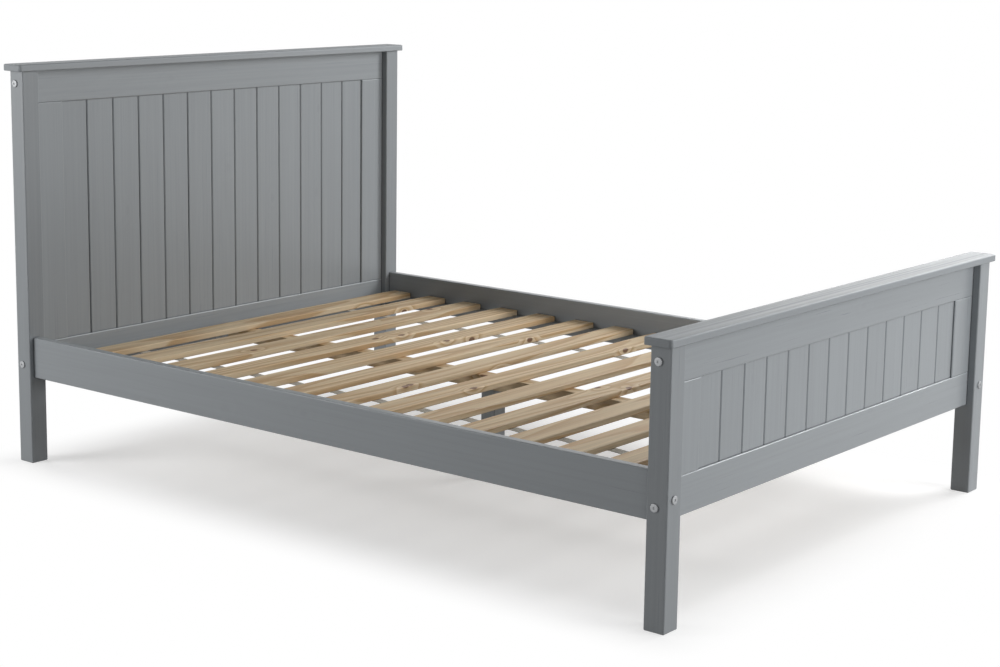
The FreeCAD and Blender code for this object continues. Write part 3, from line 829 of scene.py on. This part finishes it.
def outward_end(box, axis, sign):
    """The middle of a box's end that faces along an axis, and that direction."""
    point = (box[0] + box[1]) / 2
    point[axis] = box[1 if sign > 0 else 0][axis]
    direction = Vector((0.0, 0.0, 0.0))
    direction[axis] = sign
    return point, direction


def build_bolts(node):
    """Bolts with a hexagon socket in a flat head, which lies on the outer face of its post."""
    flat_radius = bolt_head_radius - bolt_rim_radius
    rim = [
        (flat_radius + bolt_rim_radius * math.sin(turn), bolt_rim_radius * (math.cos(turn) - 1))
        for turn in quarter_steps(bolt_rim_steps)
    ]
    socket = circle(socket_width / 2 / math.cos(math.pi / socket_sides), socket_sides)
    shape = bmesh.new()
    for box in solid_boxes(node):
        axis = long_axis(box)
        length = (box[1] - box[0])[axis]
        profile = rim + [
            (bolt_head_radius, -bolt_head_height),
            (bolt_shank_radius, -bolt_head_height),
            (bolt_shank_radius, bolt_tip_chamfer - length),
            (bolt_shank_radius - bolt_tip_chamfer, -length),
        ]
        place = aimed(*outward_end(box, axis, math.copysign(1, box[0][axis])))
        turned_with_recess(shape, place, profile, socket, socket, -socket_depth)
    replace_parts(new_piece(node + "_socket", shape, "zinc_steel"), node)


def build_screws(node):
    """Round screws with a cross recess, with heads that face up or to the middle of the bed."""
    mouth = cross(cross_arm, cross_half_width)
    floor = cross(cross_arm * cross_floor_share, cross_half_width * cross_floor_share)
    shape = bmesh.new()
    for box in solid_boxes(node):
        axis = long_axis(box)
        length = (box[1] - box[0])[axis]
        sign = 1 if axis == z_axis else -math.copysign(1, box[0][axis])
        profile = [
            (screw_head_radius - screw_head_rim, 0.0),
            (screw_head_radius, -screw_head_rim),
            (screw_shank_radius, -screw_head_depth),
            (screw_shank_radius, screw_tip_length - length),
            (screw_tip_radius, -length),
        ]
        place = aimed(*outward_end(box, axis, sign))
        turned_with_recess(shape, place, profile, mouth, floor, -cross_depth)
    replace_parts(new_piece(node + "_cross", shape, "zinc_steel"), node)


def build_nut_faces(node, axis):
    """The slotted ends of barrel nuts, which show in a side rail's inner face or the back of a board."""
    half, wide = slot_half_length, slot_half_width
    slot = [(half, wide), (-half, wide), (-half, -wide), (half, -wide)]
    profile = [
        (nut_radius - nut_rim, -nut_face_sink),
        (nut_radius, -nut_face_sink - nut_rim),
        (nut_radius, -nut_sink),
    ]
    shape = bmesh.new()
    for box in solid_boxes(node):
        sign = 1 if axis == y_axis else -math.copysign(1, box[0][axis])
        end, direction = outward_end(box, axis, sign)
        place = aimed(end + direction * nut_sink, direction)
        turned_with_recess(shape, place, profile, slot, slot, -slot_floor_sink)
    new_piece(node + "_slots", shape, "zinc_steel")


def slat_spans():
    """The lowest and highest Y of each slat."""
    return [(low.y, high.y) for low, high in map(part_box, slat_names)]


def tape_dip(y, spans):
    """How far the tape hangs below the slats at a place, since it is held at each and sags between."""
    for (_, start), (end, _) in zip(spans, spans[1:]):
        if start < y < end:
            return tape_sag * math.sin(math.pi * (y - start) / (end - start)) ** 2
    return 0.0


def build_tape(side):
    """A webbing tape under the slats, with thin selvedges."""
    node = f"slat_tape_{side}"
    low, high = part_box(node)
    spans = slat_spans()
    section = [
        (low.x + tape_selvedge, 0.0), (low.x, tape_edge_share), (low.x + tape_selvedge, 1.0),
        (high.x - tape_selvedge, 1.0), (high.x, tape_edge_share), (high.x - tape_selvedge, 0.0),
    ]
    steps = round((high.y - low.y) / tape_step)
    shape = bmesh.new()
    loops = []
    for step in range(steps + 1):
        y = low.y + (high.y - low.y) * step / steps
        dip = tape_dip(y, spans)
        loops.append([
            shape.verts.new((x, y, low.z - dip + (high.z - low.z) * share)) for x, share in section
        ])
    walls(shape, loops)
    shape.faces.new(loops[0])
    shape.faces.new(loops[-1])
    piece = new_piece(f"slat_webbing_{side}", shape, "webbing")
    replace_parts(piece, node)


def staple_outline():
    """The outline of a staple seen from its side, with the crown below zero."""
    half = staple_crown / 2
    middle_x = half - staple_bend
    middle_z = staple_bend - staple_wire

    def bend(radius):
        return [
            (middle_x + radius * math.cos(turn), middle_z - radius * math.sin(turn))
            for turn in quarter_steps(staple_bend_steps)
        ]

    outer = [(half, staple_leg)] + bend(staple_bend)
    inner = [(half - staple_wire, staple_leg)] + bend(staple_bend - staple_wire)
    right = outer + [(-x, z) for x, z in reversed(outer)]
    return right + [(-x, z) for x, z in inner] + list(reversed(inner))


def build_staples(side):
    """Two wire staples that hold a tape to each slat."""
    low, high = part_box(f"slat_tape_{side}")
    middle_x = (low.x + high.x) / 2
    outline = staple_outline()
    shape = bmesh.new()
    for start, end in slat_spans():
        for offset in (-staple_spacing / 2, staple_spacing / 2):
            middle_y = (start + end) / 2 + offset
            loops = [
                [shape.verts.new((middle_x + x, middle_y + depth, low.z + z)) for x, z in outline]
                for depth in (-staple_width / 2, staple_width / 2)
            ]
            walls(shape, loops)
            shape.faces.new(loops[0])
            shape.faces.new(loops[1])
    new_piece(f"tape_staples_{side}", shape, "zinc_steel")


def seen(n):
    """One where a ray comes from the camera or from a mirror or glass, else nothing."""
    path = n.add("LightPath").outputs
    first = n.math("MAXIMUM", path["Is Camera Ray"], path["Is Glossy Ray"])
    return n.math("MAXIMUM", first, path["Is Transmission Ray"])


def outside_distance(n, corner):
    """How far a point of the floor lies outside the bed's outline, with a minus sign inside it."""
    x, y, _ = n.parts(n.place())
    past_side = n.math("SUBTRACT", n.math("ABSOLUTE", x), corner[0])
    past_end = n.math("SUBTRACT", n.math("ABSOLUTE", y), corner[1])
    past_both = n.vector(n.math("MAXIMUM", past_side, 0.0), n.math("MAXIMUM", past_end, 0.0), 0.0)
    outside = n.add("VectorMath", {0: past_both}, operation="LENGTH").outputs["Value"]
    inside = n.math("MINIMUM", n.math("MAXIMUM", past_side, past_end), 0.0)
    return n.plus(outside, inside)


def floor_material():
    """Pale under the bed, where it takes the shadow, white further out, with a grey bounce to the bed."""
    material, n = new_material("stage_floor")
    far = n.span(outside_distance(n, cad_bounds[1]), floor_fade_start, floor_fade_end)
    shade = n.add("BsdfDiffuse", {"Color": floor_shade}).outputs["BSDF"]
    lift = n.add("Emission", {"Color": white, "Strength": floor_lift}).outputs["Emission"]
    near = n.add("AddShader", {0: shade, 1: lift}).outputs["Shader"]
    blank = n.add("Emission", {"Color": white, "Strength": white_strength}).outputs["Emission"]
    shown = n.add("MixShader", {0: far, 1: near, 2: blank}).outputs["Shader"]
    bounce = n.add("BsdfDiffuse", {"Color": floor_bounce}).outputs["BSDF"]
    whole = n.add("MixShader", {0: seen(n), 1: bounce, 2: shown}).outputs["Shader"]
    n.add("OutputMaterial", {"Surface": whole})
    return material


def build_floor():
    """A pale floor that keeps the bed's soft shadow and runs out into white."""
    half = floor_size / 2
    mesh = bpy.data.meshes.new("stage_floor")
    corners = [(-half, -half, 0.0), (half, -half, 0.0), (half, half, 0.0), (-half, half, 0.0)]
    mesh.from_pydata(corners, [], [(0, 1, 2, 3)])
    mesh.materials.append(floor_material())
    floor = bpy.data.objects.new("stage_floor", mesh)
    bpy.context.scene.collection.objects.link(floor)


def build_sky():
    """An even grey light from all round, which the camera and mirrors see as white."""
    world = bpy.data.worlds.new("studio")
    world.use_nodes = True
    bpy.context.scene.world = world
    n = Nodes(world.node_tree)
    light = n.add("Background", {"Color": white, "Strength": sky_strength}).outputs["Background"]
    blank = n.add("Background", {"Color": white, "Strength": white_strength}).outputs["Background"]
    whole = n.add("MixShader", {0: seen(n), 1: light, 2: blank}).outputs["Shader"]
    n.add("OutputWorld", {"Surface": whole})


def build_lamp(name, place, target, width, power):
    """A square studio lamp that faces a point."""
    lamp = bpy.data.lights.new(name, "AREA")
    lamp.size = width
    lamp.energy = power
    box = bpy.data.objects.new(name, lamp)
    box.location = place
    box.rotation_mode = "QUATERNION"
    box.rotation_quaternion = (Vector(target) - Vector(place)).to_track_quat("-Z", "Y")
    bpy.context.scene.collection.objects.link(box)


def build_camera():
    """The camera at the photograph's angle."""
    lens = bpy.data.cameras.new("camera")
    lens.sensor_width = sensor_width
    lens.lens = focal_pixels / photo_width * sensor_width
    lens.shift_y = camera_shift
    camera = bpy.data.objects.new("camera", lens)
    turn = Matrix.Rotation(camera_yaw, 4, "Z") @ Matrix.Rotation(math.pi / 2 + camera_pitch, 4, "X")
    roll = Matrix.Rotation(camera_roll, 4, "Z")
    camera.matrix_world = Matrix.Translation(camera_place) @ turn @ roll
    bpy.context.scene.collection.objects.link(camera)
    bpy.context.scene.camera = camera


dress_nodes()
for bolt_node in ("panel_bolts", "side_rail_bolts"):
    build_bolts(bolt_node)
for screw_node in ("slat_screws", "ledger_screws", "hanger_screws"):
    build_screws(screw_node)
build_nut_faces("panel_barrel_nuts", y_axis)
build_nut_faces("side_rail_barrel_nuts", x_axis)
for tape_side in sides:
    build_tape(tape_side)
    build_staples(tape_side)
build_floor()
build_sky()
for lamp_name, lamp_values in lamps.items():
    build_lamp(lamp_name, **lamp_values)
build_camera()
bpy.context.scene.view_settings.view_transform = "Standard"
